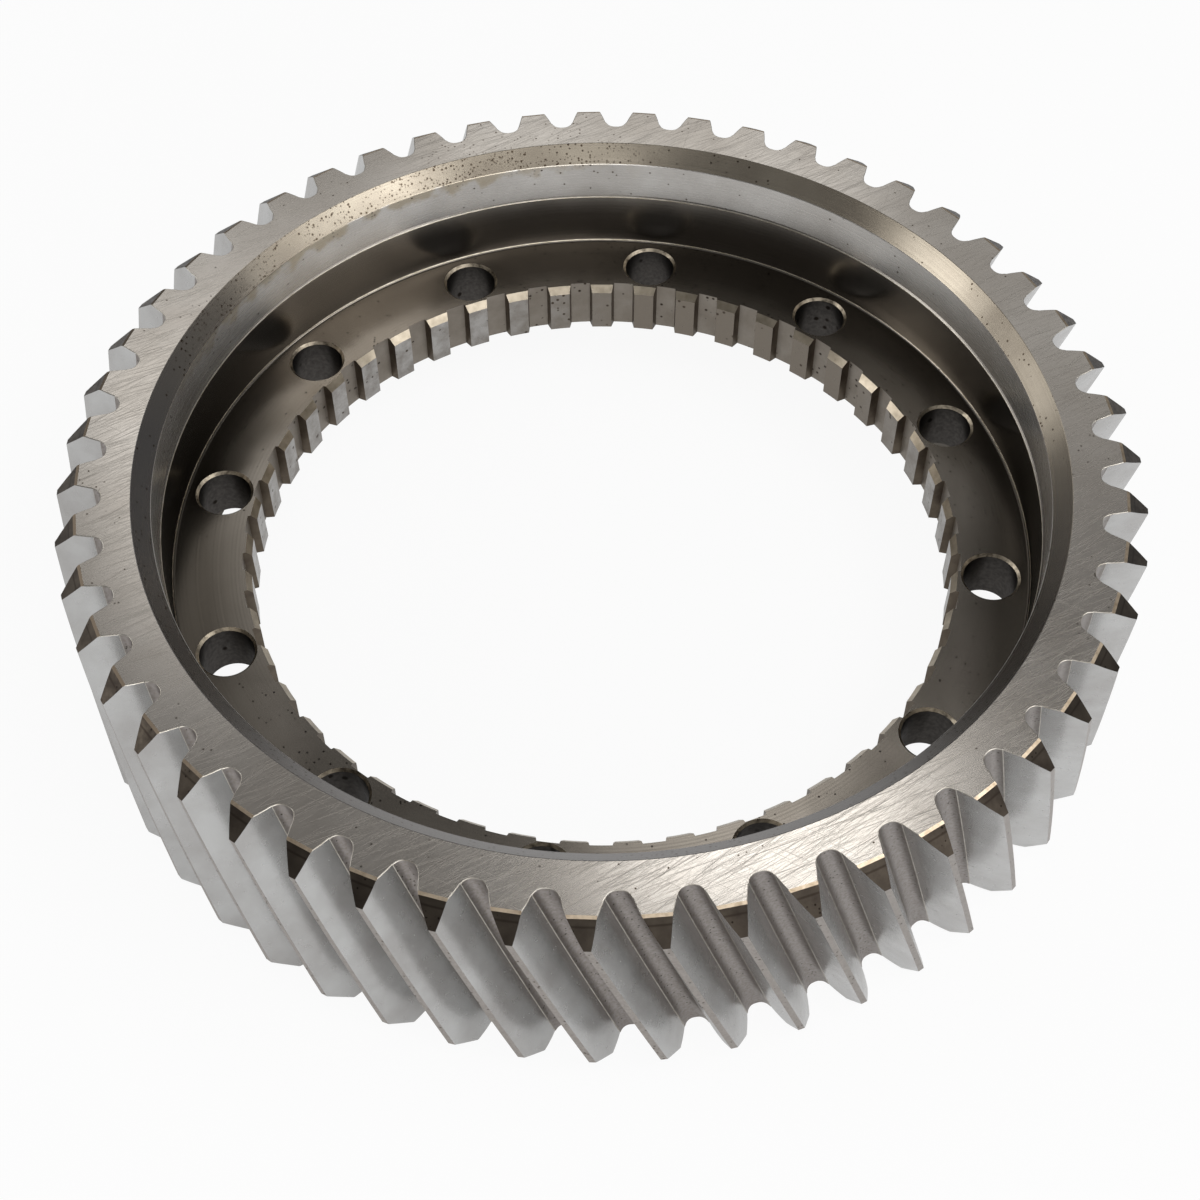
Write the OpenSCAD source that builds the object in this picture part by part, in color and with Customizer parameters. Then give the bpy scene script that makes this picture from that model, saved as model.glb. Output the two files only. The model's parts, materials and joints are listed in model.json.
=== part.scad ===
// Helical bull gear: a toothed steel ring whose web carries bolt holes and an internal spline.
// The axis is Z, the underside stands on z = 0, and the deep recess opens upwards.

/* [Teeth] */
// Number of teeth round the rim
teeth = 51; // [40:1:90]
// Normal module
normal_module = 6; // [4.5:0.25:9]
// Normal pressure angle in degrees
pressure_angle = 20; // [18:0.5:22.5]
// Helix angle on the pitch circle in degrees, left hand
helix_angle = 16.75; // [5:0.25:25]
// Height of a tooth above the pitch circle, in modules
addendum_modules = 1.38; // [1:0.01:1.5]
// Depth of a gap below the pitch circle, in modules
dedendum_modules = 1.09; // [1:0.01:1.3]
// Radius of the fillet at the foot of a flank, in modules
fillet_modules = 0.58; // [0.3:0.01:0.6]
// How much thinner a tooth is than half the normal pitch
backlash = 0.64; // [0:0.02:1]
// Angle of a tooth's centre line on the top face, in degrees
tooth_start = -0.15; // [-3.5:0.05:3.5]

/* [Rim] */
// Width of the gear along its axis
face_w = 81.9; // [70:0.1:120]
// Metal between the bottom of the teeth and the recess
rim_wall = 14.8; // [12:0.1:25]
// Radial width of the chamfer on the upper ends of the teeth
upper_chamfer_w = 7; // [3:0.1:9]
// Height of that chamfer
upper_chamfer_h = 5.8; // [3:0.1:9]
// Radial width of the chamfer on the lower ends of the teeth
lower_chamfer_w = 6.3; // [3:0.1:9]
// Height of that chamfer
lower_chamfer_h = 7; // [3:0.1:9]

/* [Recess] */
// Depth from the top face to the web
recess_depth = 40.6; // [32:0.1:44]
// Chamfer round the mouth of the recess, above and below
mouth_chamfer = 5.25; // [2:0.25:8]
// Depth from the top face to the lower edge of the ground register
register_depth = 19.9; // [12:0.1:28]
// How far the register is bored out beyond the wall below it
register_step = 0.6; // [0.2:0.1:2]
// Radius of the corner between the wall and the web
web_fillet = 1; // [0.5:0.1:3]

/* [Web] */
// Thickness of the web
web_t = 19.4; // [14:0.1:22]
// Radial width of the web, from the recess wall to the foot of the spline
web_w = 22.3; // [21.4:0.1:32]

/* [Bolt holes] */
// Number of bolt holes
holes = 12; // [4:1:16]
// Diameter of a bolt hole
hole_d = 17.4; // [8:0.1:18]
// Chamfer at both ends of a bolt hole
hole_chamfer = 0.85; // [0.2:0.05:0.9]
// Metal between the foot of the spline and a bolt hole
hole_wall = 0.95; // [0.9:0.05:2]
// Angle of the first bolt hole in degrees
hole_start = 22; // [0:0.5:30]

/* [Spline] */
// Number of spline teeth
spline_teeth = 47; // [24:1:60]
// Depth of the spline
spline_depth = 2.7; // [1.5:0.1:4]
// Width of a spline tooth at its foot
spline_tooth_w = 8.8; // [6:0.1:10]
// Slope of a spline tooth's sides, in degrees from its centre line
spline_flank_angle = 19.5; // [5:0.5:30]
// Radial width of the chamfer on the upper ends of the spline teeth
spline_chamfer_w = 1.8; // [0.5:0.1:2.4]
// Height of that chamfer
spline_chamfer_h = 2.5; // [1:0.1:4]
// Angle of the first spline tooth in degrees
spline_start = 5.65; // [0:0.05:7.6]

/* [Hidden] */
// Steps along the curve of a flank, and along the fillet below it
flank_steps = 3;
fillet_steps = 4;
// The most that the teeth turn between two layers of the helix, in degrees
layer_twist = 3.2;
// How far a cutting shape runs past the surface that it cuts, and the flanks past the tip circle
over = 1;
tip_over = 0.3;
$fn = 180;

// The transverse section of the teeth, square to the axis
pitch_r = teeth * normal_module / cos(helix_angle) / 2;
transverse_pressure = atan(tan(pressure_angle) / cos(helix_angle));
base_r = pitch_r * cos(transverse_pressure);
tip_r = pitch_r + addendum_modules * normal_module;
root_r = pitch_r - dedendum_modules * normal_module;
fillet_r = fillet_modules * normal_module;
half_tooth = degrees((PI * normal_module / 2 - backlash) / 2 / cos(helix_angle) / pitch_r);
twist_per_mm = degrees(tan(helix_angle) / pitch_r);

// Where the root fillet is centred, and where it runs into the flank
fillet_centre_r = root_r + fillet_r;
fillet_centre_a = flank_angle(fillet_centre_r) + degrees(fillet_r / base_r);
flank_start_r = norm([base_r, sqrt(fillet_centre_r ^ 2 - base_r ^ 2) - fillet_r]);

// Radii inside the rim, and heights above the underside
recess_r = root_r - rim_wall;
register_r = recess_r + register_step;
spline_r = recess_r - web_w;
crest_r = spline_r - spline_depth;
hole_circle_r = spline_r + hole_wall + hole_d / 2;
web_top = face_w - recess_depth;
web_bottom = web_top - web_t;

function degrees(radians) = radians * 180 / PI;
function polar(r, a) = [r * cos(a), r * sin(a)];
function involute(a) = degrees(tan(a)) - a;

// Half the angle that a tooth takes up at radius r, on its involute flanks
function flank_angle(r) = half_tooth + involute(transverse_pressure) - involute(acos(base_r / r));

// One side of a tooth about the line of angle 0, from the foot of its fillet up past its tip
function fillet_points() =
    let (centre = polar(fillet_centre_r, fillet_centre_a),
         foot = polar(root_r, fillet_centre_a) - centre,
         join = polar(flank_start_r, flank_angle(flank_start_r)) - centre,
         from = fillet_centre_a - 180,
         sweep = atan2(join.y, join.x) - from)
    [for (i = [0 : fillet_steps - 1]) centre + polar(fillet_r, from + sweep * i / fillet_steps)];
function flank_points() =
    [for (i = [0 : flank_steps])
        let (r = flank_start_r + (tip_r + tip_over - flank_start_r) * i / flank_steps)
        polar(r, flank_angle(r))];

function turned(points, a) =
    [for (p = points) [p.x * cos(a) - p.y * sin(a), p.x * sin(a) + p.y * cos(a)]];

// Outline of all the teeth, square to the axis: up one side of each tooth and down the other
module teeth_outline() {
    side = concat(fillet_points(), flank_points());
    tooth = concat([for (p = side) [p.x, -p.y]], [for (i = [len(side) - 1 : -1 : 0]) side[i]]);
    polygon([for (k = [0 : teeth - 1]) each turned(tooth, k * 360 / teeth)]);
}

// The teeth, wound round the axis as a left-hand helix
module helical_teeth() {
    twist = twist_per_mm * (face_w + 2 * over);
    translate([0, 0, -over])
        rotate([0, 0, tooth_start + twist_per_mm * (face_w + over)])
            linear_extrude(height = face_w + 2 * over, twist = twist, slices = ceil(twist / layer_twist))
                teeth_outline();
}

// Quarter circle that rounds the corner between the recess wall and the web
function corner_points(z, side) =
    [for (i = [0 : 4])
        [recess_r - web_fillet, z + side * web_fillet] + web_fillet * [sin(i * 22.5), -side * cos(i * 22.5)]];

// Half section of the turned blank, from the spline's foot round the outside and back
module blank_section() {
    lower_corner = corner_points(web_bottom, -1);
    upper_corner = corner_points(web_top, 1);
    polygon(concat(
        [[crest_r, web_bottom]],
        lower_corner,
        [[recess_r, mouth_chamfer], [recess_r + mouth_chamfer, 0],
         [tip_r - lower_chamfer_w, 0], [tip_r, lower_chamfer_h],
         [tip_r, face_w - upper_chamfer_h], [tip_r - upper_chamfer_w, face_w],
         [register_r + mouth_chamfer, face_w], [register_r, face_w - mouth_chamfer],
         [register_r, face_w - register_depth + register_step],
         [recess_r, face_w - register_depth]],
        [for (i = [len(upper_corner) - 1 : -1 : 0]) upper_corner[i]],
        [[crest_r, web_top]]));
}

// One bolt hole with its two chamfers, as the shape of the metal taken away
module bolt_hole() {
    r = hole_d / 2;
    rotate_extrude()
        polygon([
            [0, web_bottom - over], [r + hole_chamfer + over, web_bottom - over],
            [r, web_bottom + hole_chamfer], [r, web_top - hole_chamfer],
            [r + hole_chamfer + over, web_top + over], [0, web_top + over]]);
}

module bolt_holes() {
    for (k = [0 : holes - 1])
        rotate([0, 0, hole_start + k * 360 / holes])
            translate([hole_circle_r, 0, 0])
                bolt_hole();
}

// The gaps between the spline teeth: a star whose straight sides are the flanks of the teeth
module spline_gaps() {
    outer_r = spline_r + over;
    half_foot = spline_tooth_w / 2 + over * tan(spline_flank_angle);
    apex_r = outer_r - half_foot / tan(spline_flank_angle);
    pitch = 360 / spline_teeth;
    half_gap_a = pitch / 2 - asin(half_foot / outer_r);
    intersection() {
        translate([0, 0, web_bottom - over])
            linear_extrude(height = web_t + 2 * over)
                polygon([for (k = [0 : spline_teeth - 1])
                    let (a = spline_start + k * pitch)
                    each [polar(apex_r, a), polar(outer_r, a + pitch / 2 - half_gap_a),
                          polar(outer_r, a + pitch / 2 + half_gap_a)]]);
        translate([0, 0, web_bottom - 2 * over])
            cylinder(h = web_t + 4 * over, r = spline_r);
    }
}

// The cone that chamfers the upper ends of the spline teeth
module spline_chamfer() {
    slope = spline_chamfer_w / spline_chamfer_h;
    translate([0, 0, web_top - spline_chamfer_h - over])
        cylinder(h = spline_chamfer_h + 2 * over,
                 r1 = crest_r - over * slope, r2 = crest_r + spline_chamfer_w + over * slope);
}

// The turned ring with its spline broached
module splined_blank() {
    difference() {
        rotate_extrude() blank_section();
        spline_gaps();
        spline_chamfer();
    }
}

// The same ring with its bolt holes, before the teeth are cut
module drilled_blank() {
    difference() {
        splined_blank();
        bolt_holes();
    }
}

module bull_gear() {
    color("#8f8b84")
        intersection() {
            drilled_blank();
            helical_teeth();
        }
}

bull_gear();
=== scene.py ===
# %% [markdown]
# # A bull gear in ground and heat-treated steel
# The real gear is one forging: a rim with helical teeth, a web inside it with bolt holes, and a
# spline broached through the web. The lathe, the gear cutter, the drill and the broach each leave
# their own kind of surface, and the grinder then brightens the faces that have to be true. This
# lesson models the ring once, in one closed mesh, and gives each of those surfaces its own finish.

# %% The frame
import json
import math

import bmesh
import bpy
from mathutils import Matrix, Vector


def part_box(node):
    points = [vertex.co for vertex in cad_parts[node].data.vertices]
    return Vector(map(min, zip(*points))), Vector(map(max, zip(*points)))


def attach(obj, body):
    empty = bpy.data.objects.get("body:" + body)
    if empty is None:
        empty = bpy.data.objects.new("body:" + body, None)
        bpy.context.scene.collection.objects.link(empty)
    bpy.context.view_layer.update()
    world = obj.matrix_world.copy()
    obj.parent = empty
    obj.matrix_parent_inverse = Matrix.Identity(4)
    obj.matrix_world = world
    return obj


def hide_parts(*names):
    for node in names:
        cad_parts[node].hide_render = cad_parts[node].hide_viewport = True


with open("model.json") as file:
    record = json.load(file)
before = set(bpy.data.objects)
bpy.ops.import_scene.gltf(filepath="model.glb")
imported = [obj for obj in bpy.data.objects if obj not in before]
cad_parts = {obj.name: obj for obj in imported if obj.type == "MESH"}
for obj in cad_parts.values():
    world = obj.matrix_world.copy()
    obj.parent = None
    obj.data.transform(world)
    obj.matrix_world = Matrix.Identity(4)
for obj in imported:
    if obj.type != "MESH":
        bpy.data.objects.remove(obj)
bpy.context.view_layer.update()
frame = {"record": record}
mounts = {m["name"]: m for m in frame["record"]["mounts"]}
MM = 0.001

# %% [markdown]
# ## Sizes
# The frame gives the overall size, and its mounts give the round sizes that other parts fit. The
# rest are the gear's own working sizes, in metres, as a drawing would give them.

# %% Sizes of the turned ring
top_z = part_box("bull_gear")[1][2]
register_r = mounts["register"]["dims"]["r_mm"] * MM
register_step = 0.6 * MM
register_z = top_z - 19.9 * MM
recess_r = register_r - register_step
mouth_chamfer = 5.25 * MM
web_t = mounts["spline"]["dims"]["length_mm"] * MM
web_top = mounts["spline"]["pos_m"][2] + web_t / 2
web_bottom = web_top - web_t
web_fillet = 1.0 * MM
print("web from", round(web_bottom / MM, 1), "to", round(web_top / MM, 1), "mm")

# %% Sizes of the teeth
teeth = 51
module = 6 * MM
addendum, dedendum, root_fillet = 8.28 * MM, 6.54 * MM, 3.48 * MM
backlash = 0.64 * MM
pressure_angle = math.radians(20)
helix_angle = math.radians(16.75)
tooth_start = math.radians(-0.15)
pitch_r = mounts["toothing"]["dims"]["r_mm"] * MM
tip_r = pitch_r + addendum
root_r = pitch_r - dedendum
tooth_pitch = math.tau / teeth
twist = math.tan(helix_angle) / pitch_r
transverse_pressure = math.atan(math.tan(pressure_angle) / math.cos(helix_angle))
base_r = pitch_r * math.cos(transverse_pressure)
half_tooth = (math.pi * module / 2 - backlash) / 2 / math.cos(helix_angle) / pitch_r
print("the teeth turn by", round(math.degrees(twist * top_z), 2), "degrees over the width")

# %% Sizes of the holes and the spline
holes = mounts["bolt_circle"]["dims"]["count"]
hole_circle_r = mounts["bolt_circle"]["dims"]["pcd_mm"] / 2 * MM
hole_r = mounts["bolt_circle"]["dims"]["hole_r_mm"] * MM
hole_chamfer = 0.85 * MM
hole_start = math.radians(22)
spline_teeth = 47
crest_r = mounts["spline"]["dims"]["r_mm"] * MM
spline_r = crest_r + 2.7 * MM
spline_tooth_w = 8.8 * MM
spline_flank = math.radians(19.5)
spline_start = math.radians(5.65)
spline_chamfer_w, spline_chamfer_h = 1.8 * MM, 2.5 * MM

# %% [markdown]
# ## The camera
# It stands where the photograph was taken: close to the gear and well above it, so that the near
# teeth look much larger than the far ones. A 60 mm lens at 0.62 m gives the same perspective.

# %% Camera
scene = bpy.context.scene
scene.view_settings.view_transform = "Standard"
bpy.ops.object.select_all(action="DESELECT")
bpy.ops.object.camera_add(location=(-0.0005, -0.4077, 0.5464),
                          rotation=(math.radians(37.009), 0, 0))
camera = bpy.context.object
camera.name = "camera"
camera.data.sensor_width = 36
camera.data.lens = 59.84
camera.data.clip_start = 0.01
scene.camera = camera

# %% [markdown]
# ## Working in edit mode
# Every piece below is made with the tools that a modeller uses by hand. Edit mode works on what is
# selected, so two small helpers open an object with nothing selected and pick its parts by place.

# %% Helpers for edit mode
def edit(obj, kind="VERT"):
    """Open one object in edit mode with nothing selected."""
    if bpy.context.mode != "OBJECT":
        bpy.ops.object.mode_set(mode="OBJECT")
    bpy.ops.object.select_all(action="DESELECT")
    obj.select_set(True)
    bpy.context.view_layer.objects.active = obj
    bpy.ops.object.mode_set(mode="EDIT")
    bpy.ops.mesh.select_mode(type=kind)
    bpy.ops.mesh.select_all(action="DESELECT")


def pick(kind, wanted):
    """Select the vertices, edges or faces for which wanted says yes, and return how many."""
    bpy.ops.mesh.select_all(action="DESELECT")
    obj = bpy.context.edit_object
    mesh = bmesh.from_edit_mesh(obj.data)
    chosen = [item for item in getattr(mesh, kind) if wanted(item)]
    for item in chosen:
        item.select_set(True)
    bmesh.update_edit_mesh(obj.data)
    return len(chosen)


def done():
    bpy.ops.object.mode_set(mode="OBJECT")


def polar(r, angle, z=0.0):
    return Vector((r * math.cos(angle), r * math.sin(angle), z))


def radius(v):
    return math.hypot(v.x, v.y)


def new_outline(name, points):
    """One flat face whose rim runs through the points, from a circle primitive."""
    bpy.ops.object.select_all(action="DESELECT")
    bpy.ops.mesh.primitive_circle_add(vertices=len(points), radius=tip_r, fill_type="NGON")
    obj = bpy.context.object
    obj.name = name
    for vertex, point in zip(obj.data.vertices, points):
        vertex.co = point
    return obj


# %% [markdown]
# ## Finishes, named first
# One forging shows many surfaces. They are listed here in the order of their material slots, so
# that each step of the modelling can say which tool last touched the faces it makes.

# %% Finishes
FINISHES = ["ground_end_face", "oiled_turned_chamfer", "ground_register", "heat_scale_wall",
            "oiled_turned_web", "drilled_bore", "broached_floor", "broached_side", "bored_crest",
            "spline_chamfer_cut", "ground_flank", "milled_root", "tooth_land",
            "oxidised_end_chamfer", "burnished_edge", "bright_turned_edge", "stoned_edge",
            "countersunk_edge"]
slot_of = {name: i for i, name in enumerate(FINISHES)}
materials = {name: bpy.data.materials.new(name) for name in FINISHES}


def give_slots(obj):
    obj.data.materials.clear()
    for name in FINISHES:
        obj.data.materials.append(materials[name])


def paint(obj, finish_of):
    """Give each face the finish that finish_of names for its middle and its normal."""
    for face in obj.data.polygons:
        name = finish_of(face.center, face.normal)
        if name:
            face.material_index = slot_of[name]


# %% [markdown]
# ## One tooth
# A gear grinder rolls the flank as an involute, and leaves a round fillet from the cutter below
# it, with a fine step where the wheel stopped. The outline of one tooth is therefore worked out
# from the base circle, and not drawn by eye. It runs from the middle of one gap to the middle of
# the next, and on round the rim inside, so that copies of it join up into the whole ring.

# %% Outline of a tooth
seam_r = 150.0 * MM
seam_steps = 6
flank_steps = 6
fillet_steps = 7
grind_step = 0.2 * MM


def involute(angle):
    return math.tan(angle) - angle


def flank_angle(r):
    return half_tooth + involute(transverse_pressure) - involute(math.acos(min(1, base_r / r)))


fillet_centre_r = root_r + root_fillet
fillet_centre_a = flank_angle(fillet_centre_r) + root_fillet / base_r
flank_start = math.hypot(base_r, math.sqrt(fillet_centre_r ** 2 - base_r ** 2) - root_fillet)


def tooth_side():
    """Radius and angle from the middle of a gap up to the tip, about the tooth's centre line."""
    side = [(root_r, tooth_pitch / 2)]
    centre = polar(fillet_centre_r, fillet_centre_a)
    foot = fillet_centre_a + math.pi
    join = polar(flank_start, flank_angle(flank_start)) - centre
    sweep = (math.atan2(join.y, join.x) - foot) % math.tau
    for i in range(fillet_steps):
        p = centre + polar(root_fillet, foot + sweep * i / fillet_steps)
        side.append((radius(p), math.atan2(p.y, p.x) + grind_step * i / fillet_steps / root_r))
    side.append((flank_start - 0.14 * MM, flank_angle(flank_start) + grind_step / flank_start))
    for i in range(flank_steps + 1):
        r = flank_start + (tip_r - flank_start) * i / flank_steps
        side.append((r, flank_angle(r)))
    return side


side = tooth_side()
outline = [(r, -a) for r, a in side] + [(r, a) for r, a in reversed(side)]
seam = [(seam_r, tooth_pitch * (0.5 - i / seam_steps)) for i in range(seam_steps + 1)]
print("points round one tooth:", len(outline) + len(seam))

# %% The outline wound down as a helix
# A left-hand helix turns the outline anticlockwise on its way down, so each layer is turned a
# little further than the last. The teeth start above the top face, to be cut to it next.
overshoot = 2 * MM
layers = 10
layer_h = (top_z + 2 * overshoot) / layers
start_a = tooth_start - twist * overshoot
tooth = new_outline("tooth", [polar(r, a + start_a, top_z + overshoot) for r, a in outline + seam])
edit(tooth, "FACE")
bpy.ops.mesh.select_all(action="SELECT")
for _ in range(layers):
    bpy.ops.mesh.extrude_region_move(TRANSFORM_OT_translate={"value": (0, 0, -layer_h)})
    bpy.ops.transform.rotate(value=-twist * layer_h, orient_axis="Z", center_override=(0, 0, 0))
done()
lowest = min(tooth.data.vertices, key=lambda v: v.co.z).co
print("lowest point at", [round(c / MM, 2) for c in lowest])

# %% [markdown]
# ## Facing and chamfering the teeth
# On the real gear the lathe faces both ends of the rim and chamfers the corners before the teeth
# are cut. Here the wound outline is cut by flat planes with bisect, which fills each cut. The thin
# bright band where the flat end meets the chamfer is one more cut, halfway between the two.

# %% Cuts at the ends of a tooth
def cut(origin, normal):
    bpy.ops.mesh.select_all(action="SELECT")
    bpy.ops.mesh.bisect(plane_co=origin, plane_no=normal, clear_outer=True, use_fill=True)


def chamfer_end(z, up, width, height, band):
    """Face one end at height z, chamfer it, and break the edge between the two."""
    a = tooth_start + twist * (top_z - z)
    out = polar(1, a)
    slope = Vector((out.x * height, out.y * height, up * width)).normalized()
    edge = polar(tip_r - width, a, z)
    cut((0, 0, z), (0, 0, up))
    cut(edge, slope)
    cut(edge - out * band, (slope + Vector((0, 0, up))).normalized())


edit(tooth, "FACE")
chamfer_end(top_z, up=1, width=7 * MM, height=5.8 * MM, band=0.55 * MM)
chamfer_end(0, up=-1, width=6.3 * MM, height=7 * MM, band=0.4 * MM)
pick("faces", lambda f: abs(f.normal.z) < 0.5 and min(radius(v.co) for v in f.verts) < seam_r + MM)
bpy.ops.mesh.delete(type="FACE")
done()
print("faces on one tooth:", len(tooth.data.polygons))


# %% Finishes of a tooth
def tooth_finish(middle, normal):
    r, steep = radius(middle), abs(normal.z)
    if steep > 0.99:
        return "ground_end_face"
    if steep > 0.88:
        return "burnished_edge"
    if steep > 0.45:
        return "oxidised_end_chamfer"
    if abs(normal.x * middle.x + normal.y * middle.y) > 0.94 * r and r > tip_r - MM:
        return "tooth_land"
    if abs(r - flank_start + 0.07 * MM) < 0.06 * MM:
        return "stoned_edge"
    return "milled_root" if r < flank_start else "ground_flank"


give_slots(tooth)
paint(tooth, tooth_finish)


# %% All the teeth
def ring_of(obj, count):
    """Copy a piece round the axis, each copy with its own mesh, and join them all."""
    bpy.ops.object.select_all(action="DESELECT")
    for k in range(1, count):
        twin = obj.copy()
        twin.data = obj.data.copy()
        twin.data.transform(Matrix.Rotation(math.tau * k / count, 4, "Z"))
        bpy.context.collection.objects.link(twin)
        twin.select_set(True)
    obj.select_set(True)
    bpy.context.view_layer.objects.active = obj
    bpy.ops.object.join()
    return obj


ring_of(tooth, teeth)
print("faces on all the teeth:", len(tooth.data.polygons))

# %% [markdown]
# ## The turned inside
# Mouth chamfer, register, step, wall and corner radius are all round, so each side of the web is
# one profile spun about the axis. It has as many steps as the seam of the teeth, to meet it
# point for point. A sharp turned corner always carries a narrow worn edge, so the profile has it.

# %% Spinning a profile
spin_steps = teeth * seam_steps


def spun(name, profile, angle, finish_of):
    """Spin the points (radius, height) about the axis, from the given angle."""
    shell = new_path(name, [polar(r, angle, z) for r, z in profile])
    edit(shell)
    bpy.ops.mesh.select_all(action="SELECT")
    bpy.ops.mesh.spin(steps=spin_steps, angle=math.tau, center=(0, 0, 0), axis=(0, 0, 1),
                      use_auto_merge=True)
    bpy.ops.mesh.select_all(action="SELECT")
    bpy.ops.mesh.remove_doubles(threshold=0.005 * MM)
    done()
    give_slots(shell)
    paint(shell, finish_of)
    return shell


def new_path(name, points):
    """A line of edges through the points, from a circle primitive with one edge taken out."""
    bpy.ops.object.select_all(action="DESELECT")
    bpy.ops.mesh.primitive_circle_add(vertices=len(points), radius=tip_r, fill_type="NOTHING")
    path = bpy.context.object
    path.name = name
    for vertex, point in zip(path.data.vertices, points):
        vertex.co = point
    edit(path, "EDGE")
    last = len(points) - 1
    pick("edges", lambda e: {v.index for v in e.verts} == {0, last})
    bpy.ops.mesh.delete(type="EDGE")
    done()
    return path


def corner(z, up):
    """The radius between the wall and the web, as points from the wall inwards."""
    return [(recess_r - web_fillet * (1 - math.cos(t)), z + up * web_fillet * (1 - math.sin(t)))
            for t in (math.radians(18 * i) for i in range(6))]


# %% Upper side
upper = [(seam_r, top_z), (register_r + mouth_chamfer + 0.12 * MM, top_z),
         (register_r + mouth_chamfer - 0.07 * MM, top_z - 0.07 * MM),
         (register_r + 0.12 * MM, top_z - mouth_chamfer + 0.12 * MM),
         (register_r, top_z - mouth_chamfer - 0.15 * MM),
         (register_r, register_z + register_step), (recess_r + 0.24 * MM, register_z + 0.24 * MM),
         (recess_r + 0.07 * MM, register_z + 0.07 * MM),
         (recess_r, register_z - 0.1 * MM), (recess_r, register_z - 7 * MM),
         (recess_r, register_z - 14 * MM)] + corner(web_top, 1)


def upper_finish(middle, normal):
    z = middle.z
    if z > top_z - 0.01 * MM:
        return "ground_end_face"
    if z > top_z - mouth_chamfer + 0.1 * MM:
        return "oiled_turned_chamfer"
    if z > register_z + register_step:
        return "ground_register"
    if z > register_z + 0.3 * MM:
        return "heat_scale_wall"
    if z > register_z + 0.1 * MM:
        return "stoned_edge"
    if z > register_z - 0.1 * MM:
        return "bright_turned_edge"
    if z > web_top + 0.6 * MM:
        return "heat_scale_wall"
    return "bright_turned_edge" if z > web_top + 0.4 * MM else "oiled_turned_web"


upper_side = spun("upper_side", upper, tooth_start, upper_finish)

# %% Lower side
lower = [(seam_r, 0), (recess_r + mouth_chamfer + 0.2 * MM, 0),
         (recess_r + mouth_chamfer - 0.15 * MM, 0.15 * MM),
         (recess_r, mouth_chamfer)] + corner(web_bottom, -1)


def lower_finish(middle, normal):
    if middle.z < 0.01 * MM:
        return "ground_end_face"
    if middle.z < mouth_chamfer:
        return "oiled_turned_chamfer"
    return "heat_scale_wall"


lower_side = spun("lower_side", lower, tooth_start + twist * top_z, lower_finish)
print("faces on the turned sides:", len(upper_side.data.polygons), len(lower_side.data.polygons))

# %% [markdown]
# ## Bolt holes
# A drill leaves a plain bore and a countersink leaves its chamfers. One open circle is extruded
# down through the web, and resized about the hole's own axis at each chamfer.

# %% One hole, then twelve
hole_sides = 48
centre = polar(hole_circle_r, hole_start, web_top)
bpy.ops.object.select_all(action="DESELECT")
bpy.ops.mesh.primitive_circle_add(vertices=hole_sides, radius=hole_r + hole_chamfer,
                                  fill_type="NOTHING", location=centre)
hole = bpy.context.object
hole.name = "hole"
bpy.ops.object.transform_apply(location=True, rotation=True, scale=True)
edit(hole)
bpy.ops.mesh.select_all(action="SELECT")
wide = (hole_r + hole_chamfer) / hole_r
for depth, scale in ((hole_chamfer, 1 / wide), (web_t - 2 * hole_chamfer, 1), (hole_chamfer, wide)):
    bpy.ops.mesh.extrude_region_move(TRANSFORM_OT_translate={"value": (0, 0, -depth)})
    bpy.ops.transform.resize(value=(scale, scale, 1), center_override=centre)
done()
give_slots(hole)
paint(hole, lambda middle, normal: "countersunk_edge" if abs(normal.z) > 0.3 else "drilled_bore")
ring_of(hole, holes)

# %% [markdown]
# ## The spline
# A broach cuts all the gaps at once, with straight sides and a floor that lies on one cylinder,
# and the crests are what is left of the turned bore. The chamfer at their upper ends is a cone.
# One crest with half a gap on each side is a line of edges, extruded down in two steps.

# %% One spline tooth
spline_pitch = math.tau / spline_teeth
foot_x = math.sqrt(spline_r ** 2 - (spline_tooth_w / 2) ** 2)


def flank_point(r):
    """The angle, from the tooth's centre line, at which its side crosses the radius r. It is
    found by halving, as the side is a straight line and the radius a circle."""
    low, high = 0.0, 4 * MM
    for _ in range(40):
        t = (low + high) / 2
        half = spline_tooth_w / 2 - t * math.tan(spline_flank)
        low, high = (t, high) if math.hypot(foot_x - t, half) > r else (low, t)
    return math.atan2(half, foot_x - t)


def spline_line(top_r, z):
    """Points across one tooth, from the middle of a gap to the middle of the next."""
    foot_a = math.atan2(spline_tooth_w / 2, foot_x)
    half_gap = [(spline_r, spline_pitch / 2 + (foot_a - spline_pitch / 2) * i / 3)
                for i in range(4)]
    land_a = flank_point(top_r)
    land = [(top_r, land_a * (1 - i / 2)) for i in range(5)]
    points = half_gap + land + [(r, -a) for r, a in reversed(half_gap)]
    return [polar(r, a + spline_start, z) for r, a in points]


chamfered_r = crest_r + spline_chamfer_w
crest = new_path("crest", spline_line(chamfered_r, web_top))
edit(crest, "EDGE")
bpy.ops.mesh.select_all(action="SELECT")
for depth in (spline_chamfer_h, web_t - spline_chamfer_h):
    bpy.ops.mesh.extrude_region_move(TRANSFORM_OT_translate={"value": (0, 0, -depth)})
done()
# Below the chamfer the crest reaches further in, to the turned bore.
for vertex in crest.data.vertices:
    if vertex.co.z < web_top - MM and radius(vertex.co) < chamfered_r + 0.01 * MM:
        nearest = min(spline_line(chamfered_r, vertex.co.z), key=lambda p: (p - vertex.co).length)
        i = spline_line(chamfered_r, vertex.co.z).index(nearest)
        vertex.co = spline_line(crest_r, vertex.co.z)[i]
give_slots(crest)


def spline_finish(middle, normal):
    if abs(normal.z) > 0.3:
        return "spline_chamfer_cut"
    if radius(middle) > spline_r - 0.2 * MM:
        return "broached_floor"
    return "bored_crest" if radius(middle) < crest_r + 0.2 * MM else "broached_side"


paint(crest, spline_finish)
ring_of(crest, spline_teeth)
print("faces on the spline:", len(crest.data.polygons))

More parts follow.
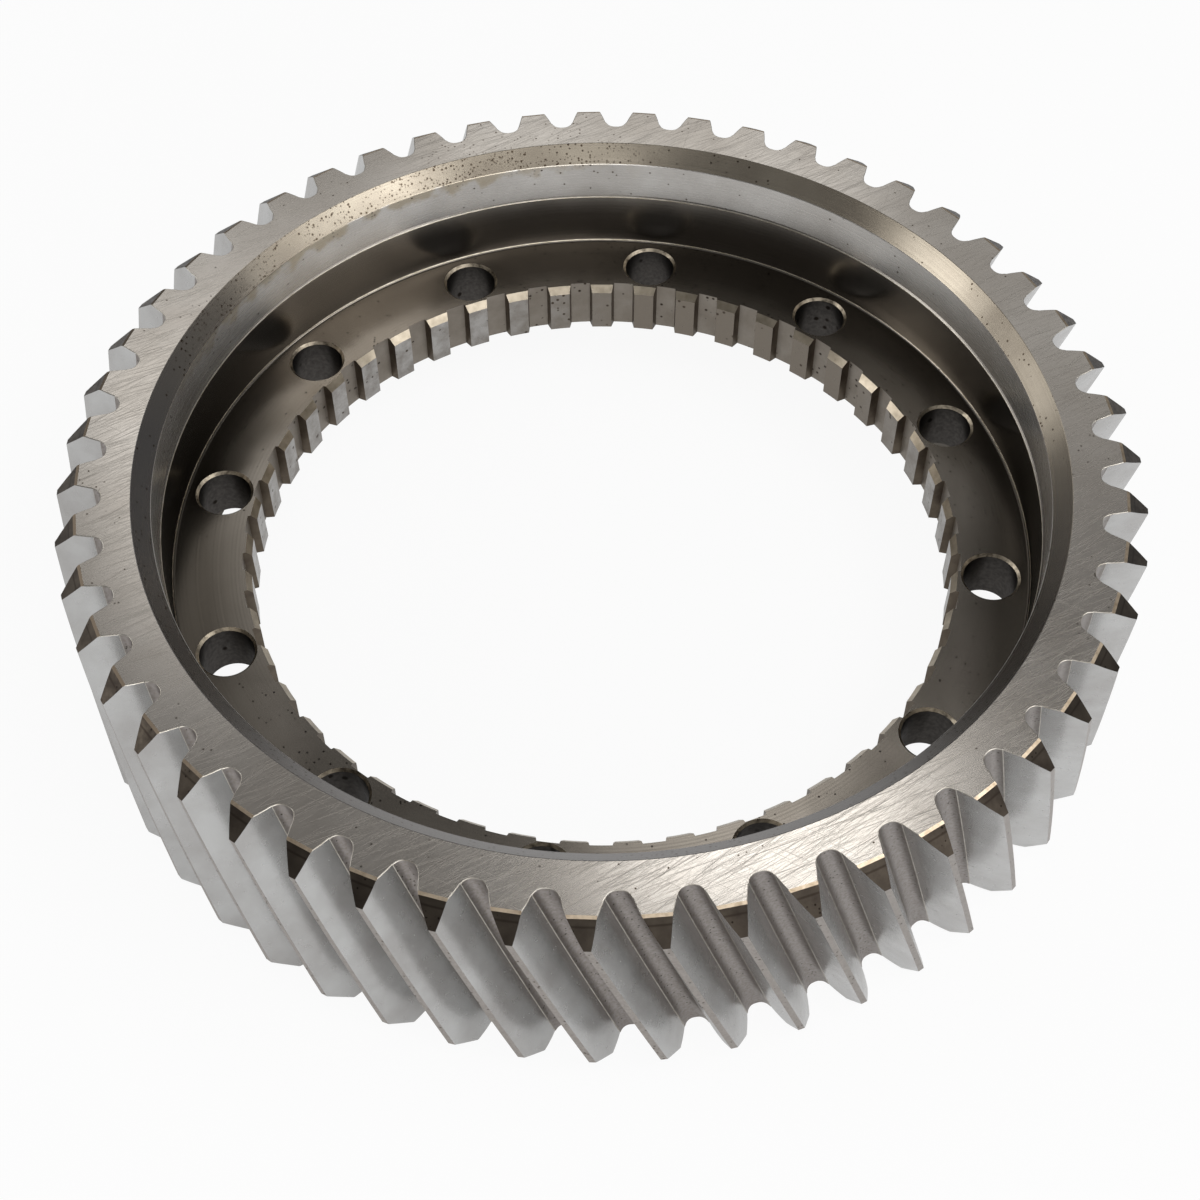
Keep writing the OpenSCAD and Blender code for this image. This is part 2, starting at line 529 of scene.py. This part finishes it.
# %% [markdown]
# ## One closed ring
# The five pieces share their edges exactly, so they are joined and their double points merged.
# Each face of the web is then filled between the wall, the holes and the spline.

# %% Joining and filling
bpy.ops.object.select_all(action="DESELECT")
for obj in (upper_side, lower_side, hole, crest, tooth):
    obj.select_set(True)
bpy.context.view_layer.objects.active = tooth
bpy.ops.object.join()
gear = tooth
gear.name = gear.data.name = "gear_ring"
edit(gear, "EDGE")
bpy.ops.mesh.select_all(action="SELECT")
bpy.ops.mesh.remove_doubles(threshold=0.01 * MM)
for z in (web_top, web_bottom):
    rims = pick("edges", lambda e: e.is_boundary
                and all(abs(v.co.z - z) < 0.01 * MM for v in e.verts))
    bpy.ops.mesh.fill(use_beauty=True)
    print("web face at", round(z / MM, 1), "mm filled between", rims, "edges")
web_faces = pick("faces", lambda f: abs(f.normal.z) > 0.99 and 0.01 * MM > min(
    abs(f.calc_center_median().z - z) for z in (web_top, web_bottom)))
bpy.context.object.active_material_index = slot_of["oiled_turned_web"]
bpy.ops.object.material_slot_assign()
open_edges = pick("edges", lambda e: len(e.link_faces) != 2)
done()
print("faces on the web:", web_faces, "open edges left:", open_edges)

# %% [markdown]
# ## Broken edges
# No ground edge on a gear is left razor sharp: it is stoned to a narrow bright line. A small bevel
# gives it a face that catches the light, and a material slot of its own.

# %% Bevels
def is_flat(face):
    return abs(face.normal.z) > 0.99


edit(gear, "EDGE")
rim_edges = pick("edges", lambda e: len(e.link_faces) == 2
                 and is_flat(e.link_faces[0]) != is_flat(e.link_faces[1])
                 and min(radius(v.co) for v in e.verts) > seam_r + MM
                 and min(abs(f.normal.z) for f in e.link_faces) < 0.5)
bpy.ops.mesh.bevel(offset=0.22 * MM, segments=2, affect="EDGES", clamp_overlap=True,
                   material=slot_of["stoned_edge"])
bpy.ops.mesh.select_all(action="SELECT")
bpy.ops.mesh.remove_doubles(threshold=0.002 * MM)
bpy.ops.mesh.normals_make_consistent(inside=False)
open_edges = pick("edges", lambda e: len(e.link_faces) != 2)
done()
print("edges broken:", rim_edges, "open edges:", open_edges)

# %% Smooth surfaces with crisp edges
bpy.ops.object.select_all(action="DESELECT")
gear.select_set(True)
bpy.context.view_layer.objects.active = gear
bpy.ops.object.shade_smooth_by_angle(angle=math.radians(19))
triangles = sum(len(p.vertices) - 2 for p in gear.data.polygons)
print("triangles in the ring:", triangles)

# %% [markdown]
# ## Making a finish
# A finish is built from nodes that read the Object coordinates, so that it stays put on the metal.
# One helper turns a colour code into Blender's linear values, and one adds a node. Three patterns
# come back in many finishes: soft stains, round pits, and fine lines left by a tool.

# %% Colours and nodes
def srgb(code):
    """Turn a #rrggbb colour into linear values."""
    parts = [int(code[i:i + 2], 16) / 255 for i in (1, 3, 5)]
    return tuple(c / 12.92 if c <= 0.04045 else ((c + 0.055) / 1.055) ** 2.4 for c in parts) + (1,)


def add(tree, kind, inputs=None, **settings):
    """Add a node. Each input is a value, or another node's output to link."""
    new = tree.nodes.new("ShaderNode" + kind)
    for name, value in settings.items():
        setattr(new, name, value)
    for name, value in (inputs or {}).items():
        if isinstance(value, bpy.types.NodeSocket):
            tree.links.new(value, new.inputs[name])
        else:
            new.inputs[name].default_value = value
    return new


def place(tree):
    return add(tree, "TexCoord").outputs["Object"]


def per_mm(size):
    """The scale that makes a texture repeat about every so many millimetres."""
    return 1 / (size * MM)


# %% Patterns
def spread(tree, value, low, high, to_low=0.0, to_high=1.0):
    """Stretch the part of a value between low and high over a new range, clamped."""
    return add(tree, "MapRange", {"Value": value, "From Min": low, "From Max": high,
                                  "To Min": to_low, "To Max": to_high}).outputs["Result"]


def cloud(tree, size, where=None, detail=4.0, rough=0.55):
    """Soft uneven patches about size millimetres across, from 0 to 1."""
    return add(tree, "TexNoise", {"Vector": where or place(tree), "Scale": per_mm(size),
                                  "Detail": detail, "Roughness": rough}).outputs["Fac"]


def times(tree, first, second):
    return add(tree, "Math", {0: first, 1: second}, operation="MULTIPLY").outputs[0]


def pits(tree, size, patch, share):
    """Small round dark pits, gathered in patches. share is how many of the places hold one."""
    cells = add(tree, "TexVoronoi", {"Vector": place(tree), "Scale": per_mm(2.2 * size)}).outputs
    chance = add(tree, "SeparateXYZ", {0: cells["Color"]}).outputs["X"]
    limit = spread(tree, cloud(tree, patch, detail=2.0), 0.38, 0.68, 0, 2 * share)
    present = add(tree, "Math", {0: chance, 1: limit}, operation="LESS_THAN").outputs[0]
    return times(tree, present, spread(tree, cells["Distance"], 0.2, 0.34, 1, 0))


def lines(tree, gap, length, angle):
    """Fine straight marks a gap apart and about a length long, turned by an angle in degrees."""
    turn = add(tree, "Mapping", {"Vector": place(tree), "Rotation": (0, 0, math.radians(angle)),
                                 "Scale": (length * MM, gap * MM, length * MM)},
               vector_type="TEXTURE")
    return add(tree, "TexNoise", {"Vector": turn.outputs["Vector"], "Scale": 1.0,
                                  "Detail": 2.0, "Roughness": 0.6}).outputs["Fac"]


def blend(tree, amount, first, second):
    """Mix two colours by an amount."""
    mix = add(tree, "Mix", data_type="RGBA", clamp_factor=True)
    sockets = (mix.inputs[0], mix.inputs[6], mix.inputs[7])
    for socket, value in zip(sockets, (amount, first, second)):
        if isinstance(value, bpy.types.NodeSocket):
            tree.links.new(value, socket)
        else:
            socket.default_value = value
    return mix.outputs[2]


def side(tree, azimuth, low, high):
    """1 on the side of the gear towards an azimuth, 0 elsewhere. low and high are shares of r."""
    a = math.radians(azimuth)
    out = add(tree, "VectorMath", {0: place(tree), 1: (math.cos(a), math.sin(a), 0)},
              operation="DOT_PRODUCT").outputs["Value"]
    return spread(tree, out, low * recess_r, high * recess_r)


# %% The shader of a finish
def finish(name, colour, roughness, height=None, depth=0.0, edge=1.0):
    """Give a finish its shader. height is a pattern, raised by depth millimetres. An edge under 1
    darkens what is seen at a slant, as a film of oil and scale does."""
    tree = materials[name].node_tree
    shader = tree.nodes["Principled BSDF"]
    shader.inputs["Metallic"].default_value = 1.0
    shader.inputs["Specular Tint"].default_value = (edge, edge, edge, 1)
    for socket, value in (("Base Color", colour), ("Roughness", roughness)):
        if isinstance(value, bpy.types.NodeSocket):
            tree.links.new(value, shader.inputs[socket])
        else:
            shader.inputs[socket].default_value = value
    if height is not None:
        bump = add(tree, "Bump", {"Height": height, "Distance": depth * MM, "Strength": 1.0})
        tree.links.new(bump.outputs["Normal"], shader.inputs["Normal"])


def tree_of(name):
    materials[name].use_nodes = True
    return materials[name].node_tree


# %% [markdown]
# ## Ground end faces
# A surface grinder sweeps its wheel over the ends of the ring, and leaves fine scratches that
# cross. Bright steel reflects nearly all the light, so the marks show mostly as roughness and
# bump, and only a little as colour. Old coolant leaves soft stains and a few pits.

# %% Ground end face
# Ground steel is a soft mirror. Where a scratch scatters the light it looks dark in a bright
# reflection and light in a dark one. Real grinding lines are finer, and are drawn so wide to show.
t = tree_of("ground_end_face")
scratch = lines(t, 0.35, 24, 33)
for angle, strength in ((22, 1.0), (42, 0.95), (-28, 0.88), (74, 0.84)):
    other = times(t, lines(t, 0.35, 24, angle), strength)
    scratch = add(t, "Math", {0: scratch, 1: other}, operation="MAXIMUM").outputs[0]
stain = cloud(t, 35)
bare = blend(t, spread(t, stain, 0.3, 0.7), srgb("#cbc5bd"), srgb("#bab3aa"))
marked = blend(t, spread(t, scratch, 0.56, 0.76, 0, 0.32), bare, srgb("#938c82"))
pitted = blend(t, pits(t, 0.5, 45, 0.03), marked, srgb("#574d43"))
corner_pits = times(t, pits(t, 0.5, 22, 0.16), side(t, 105, 0.95, 1.1))
finish("ground_end_face", blend(t, corner_pits, pitted, srgb("#655a50")),
       spread(t, scratch, 0.52, 0.78, 0.17, 0.38), scratch, 0.002)

# %% [markdown]
# ## Turned and oiled faces
# A turning tool cuts a fine spiral. Cutting oil has baked on these faces, which tints the steel
# brown and gathers in the grooves. The rings are drawn by the distance from the axis.

# %% Rings left by the lathe
def distance_out(tree):
    """How far a point lies from the gear's axis, in metres."""
    split = add(tree, "SeparateXYZ", {0: place(tree)}).outputs
    flat = add(tree, "CombineXYZ", {"X": split["X"], "Y": split["Y"]})
    return add(tree, "VectorMath", {0: flat.outputs[0]}, operation="LENGTH").outputs["Value"]


def rings(tree, pitch, by_height=False):
    """Grooves a pitch apart in millimetres, across the radius or up the wall."""
    if by_height:
        across = add(tree, "SeparateXYZ", {0: place(tree)}).outputs["Z"]
    else:
        across = distance_out(tree)
    line = add(tree, "CombineXYZ", {"X": across})
    return add(tree, "TexNoise", {"Vector": line.outputs[0], "Scale": per_mm(pitch),
                                  "Detail": 3.0, "Roughness": 0.7}).outputs["Fac"]


# %% Oiled chamfer
# Turned steel under a varnish of old oil: cream to brown at the back, plain grey in front, and
# peppered with small rust pits where the oil was thickest.
t = tree_of("oiled_turned_chamfer")
groove = rings(t, 0.7)
oil = blend(t, spread(t, cloud(t, 25), 0.3, 0.7), srgb("#a89f90"), srgb("#8b8275"))
tinted = blend(t, side(t, 70, -0.3, 0.4), srgb("#7b7876"), oil)
streaked = blend(t, spread(t, groove, 0.5, 0.75, 0, 0.2), tinted, srgb("#6f6252"))
pitted = blend(t, pits(t, 0.6, 60, 0.2), streaked, srgb("#463b30"))
both = add(t, "Math", {0: pits(t, 0.65, 9, 0.36), 1: pits(t, 0.42, 7, 0.5)}, operation="MAXIMUM")
oil_pits = times(t, both.outputs[0], side(t, 122, 0.74, 0.9))
finish("oiled_turned_chamfer", blend(t, oil_pits, pitted, srgb("#4c4033")),
       spread(t, groove, 0.3, 0.7, 0.2, 0.3), groove, 0.004)

# %% Ground register
# Bored and then ground steel, pale and cool. Its fine lines run round the bore.
t = tree_of("ground_register")
groove = rings(t, 0.5, by_height=True)
steel = blend(t, spread(t, cloud(t, 22), 0.35, 0.7), srgb("#cdcac6"), srgb("#b9b5b0"))
pitted = blend(t, pits(t, 0.6, 50, 0.06), steel, srgb("#5a5148"))

# Oil has crept down from the chamfer over the top of the register, on the side at the back left.
up = add(t, "SeparateXYZ", {0: place(t)}).outputs["Z"]
ragged = spread(t, cloud(t, 8), 0.35, 0.65, -1.5 * MM, 4.5 * MM)
crept = add(t, "Math", {0: up, 1: ragged}).outputs[0]
oiled = times(t, spread(t, crept, top_z - 7.5 * MM, top_z - 4.5 * MM, 0, 0.8),
              side(t, 128, 0.7, 0.95))
oily = blend(t, pits(t, 0.6, 9, 0.5), srgb("#ada18c"), srgb("#4c4033"))
finish("ground_register", blend(t, oiled, pitted, oily), spread(t, groove, 0.3, 0.7, 0.24, 0.32),
       groove, 0.003)

# %% Recess wall and web
# Furnace scale on the turned wall: dark, smooth and glossy, so that it mirrors the web and its
# holes. What little light it gives back is lost where it is seen at a slant.
t = tree_of("heat_scale_wall")
groove = rings(t, 0.8, by_height=True)
scale = blend(t, spread(t, cloud(t, 30), 0.3, 0.75), srgb("#7a756f"), srgb("#87827b"))
finish("heat_scale_wall", scale, spread(t, groove, 0.3, 0.7, 0.2, 0.27), groove,
       0.002, edge=0.35)

# Turned web under oil: dark olive brown, with rings that show only where light grazes them.
t = tree_of("oiled_turned_web")
groove = rings(t, 0.6)
olive = blend(t, spread(t, cloud(t, 24), 0.3, 0.75), srgb("#706a62"), srgb("#7d776f"))
worn = blend(t, spread(t, groove, 0.5, 0.75, 0, 0.3), olive, srgb("#4c463b"))
pitted = blend(t, pits(t, 0.55, 30, 0.1), worn, srgb("#1d1813"))
# Painted shade: near the wall the web is darkened at the left and at the right, where it mirrors
# the dark wall.
painted_shade_sides = add(t, "Math", {0: side(t, 190, 0.78, 0.92), 1: side(t, 352, 0.84, 0.93)},
           operation="MAXIMUM").outputs[0]
web_with_painted_shade = blend(t, times(t, painted_shade_sides, 0.85), pitted, srgb("#423d36"))
finish("oiled_turned_web", web_with_painted_shade, spread(t, groove, 0.3, 0.7, 0.16, 0.24), groove, 0.003)

# %% [markdown]
# ## Holes and spline
# A drill rubs its bore dark grey. The broach leaves the floors of the spline grey and its sides
# dark, the bored crests are brighter, and their chamfers keep a cream tint from the oil. Pits show
# where the forging was not quite clean.

# %% Drilled bores
# Rubbed by the drill, dark and dull, with a few large pits of rust.
t = tree_of("drilled_bore")
grain = cloud(t, 1.2)
grey = blend(t, spread(t, grain, 0.35, 0.7), srgb("#55524f"), srgb("#454240"))
finish("drilled_bore", blend(t, pits(t, 1.6, 30, 0.14), grey, srgb("#201b17")),
       spread(t, grain, 0.3, 0.7, 0.3, 0.4), grain, 0.006, edge=0.6)

# %% Broached spline
# The floors of the gaps are the dullest, torn a little by the broach.
t = tree_of("broached_floor")
grain = cloud(t, 1.0)
grey = blend(t, spread(t, cloud(t, 9), 0.35, 0.7), srgb("#948d84"), srgb("#847c72"))
finish("broached_floor", blend(t, pits(t, 0.9, 20, 0.2), grey, srgb("#3b322a")),
       spread(t, grain, 0.3, 0.7, 0.36, 0.48), grain, 0.006)

# The crests were bored and are nearly bright. At the back right they are darker.
t = tree_of("bored_crest")
grain = cloud(t, 2.2)
grey = blend(t, spread(t, cloud(t, 5), 0.35, 0.7), srgb("#b2b0ad"), srgb("#8a857f"))
crest_darker_back_right = blend(t, side(t, 62, 0.5, 0.76), grey, srgb("#827a70"))
finish("bored_crest", blend(t, pits(t, 0.9, 30, 0.14), crest_darker_back_right, srgb("#4b4138")),
       spread(t, grain, 0.3, 0.7, 0.16, 0.28), grain, 0.005)

# The sides are brown with oil that was never wiped off, and the chamfers only stained by it.
t = tree_of("broached_side")
finish("broached_side", blend(t, spread(t, cloud(t, 5), 0.35, 0.7), srgb("#6f6558"),
       srgb("#5a5046")), 0.35, cloud(t, 1.0), 0.005)

t = tree_of("spline_chamfer_cut")
finish("spline_chamfer_cut", blend(t, spread(t, cloud(t, 4), 0.35, 0.7), srgb("#b4a997"),
       srgb("#928878")), 0.28, cloud(t, 0.8), 0.004)

# %% [markdown]
# ## Teeth
# The grinding wheel leaves the flanks satin and even. The root was only milled, so it is darker
# and rougher, and the lands carry the pits of the turned blank. The end chamfers were oxidised in
# the hardening furnace and never ground, so they stay dark brown.

# %% Ground flank and milled root
# Satin ground steel, the cleanest surface of the gear: it shows soft light and dark, and no lines.
t = tree_of("ground_flank")
grain = cloud(t, 3.0, detail=3.0)
satin = blend(t, spread(t, cloud(t, 20), 0.35, 0.7), srgb("#c5c5c4"), srgb("#b0aeac"))
finish("ground_flank", satin, spread(t, grain, 0.3, 0.7, 0.22, 0.28))

# Milled steel that hardened afterwards: grey, grainy and speckled.
t = tree_of("milled_root")
grain = cloud(t, 0.9, detail=3.0)
grey = blend(t, spread(t, grain, 0.35, 0.7), srgb("#9b9592"), srgb("#89827c"))
finish("milled_root", blend(t, pits(t, 0.45, 16, 0.14), grey, srgb("#3d362f")),
       spread(t, grain, 0.3, 0.7, 0.34, 0.44), grain, 0.012)

# %% Lands and end chamfers
# The turned tips are as rough as the roots, and lighter because they are rubbed in handling.
t = tree_of("tooth_land")
grain = cloud(t, 0.9, detail=3.0)
grey = blend(t, spread(t, grain, 0.35, 0.7), srgb("#a59f9a"), srgb("#918a84"))
finish("tooth_land", blend(t, pits(t, 0.6, 12, 0.3), grey, srgb("#4a4038")), 0.36, grain, 0.012)

# Oxide from the furnace gives the end chamfers a matt brown black, with a darker line a third of
# the way down each one, all round the gear.
t = tree_of("oxidised_end_chamfer")
grain = cloud(t, 1.5, detail=4.0)
brown = blend(t, spread(t, cloud(t, 6), 0.3, 0.7), srgb("#4d463e"), srgb("#352f2a"))
from_line = add(t, "Math", {0: distance_out(t), 1: tip_r - 4.9 * MM}, operation="SUBTRACT")
near = add(t, "Math", {0: from_line.outputs[0]}, operation="ABSOLUTE").outputs[0]
lined = blend(t, spread(t, near, 0.1 * MM, 0.35 * MM, 0.6, 0), brown, srgb("#261f1a"))
finish("oxidised_end_chamfer", blend(t, pits(t, 0.5, 12, 0.14), lined, srgb("#1c1612")),
       spread(t, grain, 0.3, 0.7, 0.36, 0.5), grain, 0.008)

# %% Bright edges
# Edges are where other things rub. The outer one is burnished to a warm shine, but not at the left.
t = tree_of("burnished_edge")
bright = blend(t, spread(t, cloud(t, 2), 0.4, 0.7), srgb("#cbbaa3"), srgb("#a3917b"))
finish("burnished_edge", blend(t, side(t, 185, 0.6, 1.0), bright, srgb("#74685a")), 0.38)
# The turned corners of the recess are worn to bare steel.
t = tree_of("bright_turned_edge")
finish("bright_turned_edge", blend(t, spread(t, cloud(t, 4), 0.4, 0.7), srgb("#cdc4b4"),
       srgb("#a0957f")), 0.35)
# A stone draws a fine pale line along the edges of the teeth and the foot of each flank.
t = tree_of("stoned_edge")
finish("stoned_edge", blend(t, spread(t, cloud(t, 3), 0.4, 0.7), srgb("#bdb8af"),
       srgb("#989186")), 0.34)
# The countersinks are half bright and half stained, as the tool chattered.
t = tree_of("countersunk_edge")
finish("countersunk_edge", blend(t, spread(t, cloud(t, 2.2), 0.4, 0.65), srgb("#b5aa97"),
       srgb("#625a4f")), 0.4, cloud(t, 0.8), 0.006)

# %% [markdown]
# ## The room
# Metal looks like what stands around it. The floor is a pale sheet 12 m wide, and the world is a
# plain grey. Soft boxes hang where the photograph's reflections say they hung: small ones high
# and low behind the gear, broad ones to the left, to the right and in front, and a faint one
# overhead. The floor is white to the camera, and half as bright in what the metal mirrors.

# %% Floor
bpy.ops.object.select_all(action="DESELECT")
bpy.ops.mesh.primitive_plane_add(size=12, location=(0, 0, -0.0002))
floor = bpy.context.object
floor.name = "floor"
paper = bpy.data.materials.new("white_paper_floor")
paper.use_nodes = True
t = paper.node_tree
path = add(t, "LightPath").outputs
mirrored = add(t, "Math", {0: path["Is Glossy Ray"], 1: path["Is Transmission Ray"]},
               operation="MAXIMUM").outputs[0]
part = add(t, "Math", {0: times(t, path["Is Camera Ray"], 0.93), 1: times(t, mirrored, 0.45)},
           operation="MAXIMUM")
glow = add(t, "Emission", {"Color": (1, 1, 1, 1), "Strength": 1.0})
matt = t.nodes["Principled BSDF"]
matt.inputs["Base Color"].default_value = srgb("#e6e6e6")
matt.inputs["Roughness"].default_value = 0.9
both = add(t, "MixShader", {0: part.outputs[0], 1: matt.outputs[0], 2: glow.outputs[0]})
t.links.new(both.outputs[0], t.nodes["Material Output"].inputs["Surface"])
floor.data.materials.append(paper)

# %% World
world = bpy.data.worlds.new("grey_studio")
scene.world = world
world.use_nodes = True
world.node_tree.nodes["Background"].inputs["Color"].default_value = (1, 1, 1, 1)
world.node_tree.nodes["Background"].inputs["Strength"].default_value = 0.22


# %% Soft boxes
def soft_box(name, azimuth, elevation, distance, width, height, glow):
    """A rectangular lamp that faces the gear. glow is how bright it looks, where 1 is white."""
    aim = Vector((0, 0, 0.08))
    a, e = math.radians(azimuth), math.radians(elevation)
    out = Vector((math.cos(a) * math.cos(e), math.sin(a) * math.cos(e), math.sin(e)))
    bpy.ops.object.light_add(type="AREA", location=aim + out * distance)
    lamp = bpy.context.object
    lamp.name = name
    lamp.rotation_euler = out.to_track_quat("Z", "Y").to_euler()
    lamp.data.shape = "RECTANGLE"
    lamp.data.size, lamp.data.size_y = width, height
    lamp.data.energy = glow * math.pi * width * height
    return lamp


soft_box("high_back_box", 76, 62.5, 1.6, 0.34, 0.24, 2.8)
soft_box("low_back_box", 88, 38, 1.6, 0.5, 0.24, 0.8)
soft_box("wide_back_box", 88, 43, 1.6, 1.3, 0.34, 0.32)
soft_box("back_left_box", 111, 47.5, 1.6, 0.32, 0.32, 1.15)
soft_box("left_box", 180, 24, 1.6, 0.6, 0.92, 3.2)
soft_box("left_back_box", 150, 25, 1.6, 0.5, 1.0, 1.3)
soft_box("front_box", 300, 15, 1.6, 2.6, 0.5, 4.5)
soft_box("right_box", 345, 35, 1.6, 0.9, 0.5, 1.1)
soft_box("high_right_box", 345, 55, 1.6, 1.0, 0.5, 4.4)
soft_box("overhead_box", 285, 64, 1.6, 0.9, 0.7, 1.4)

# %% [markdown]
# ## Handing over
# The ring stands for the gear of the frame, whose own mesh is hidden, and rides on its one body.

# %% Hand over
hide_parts("bull_gear")
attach(gear, "root")
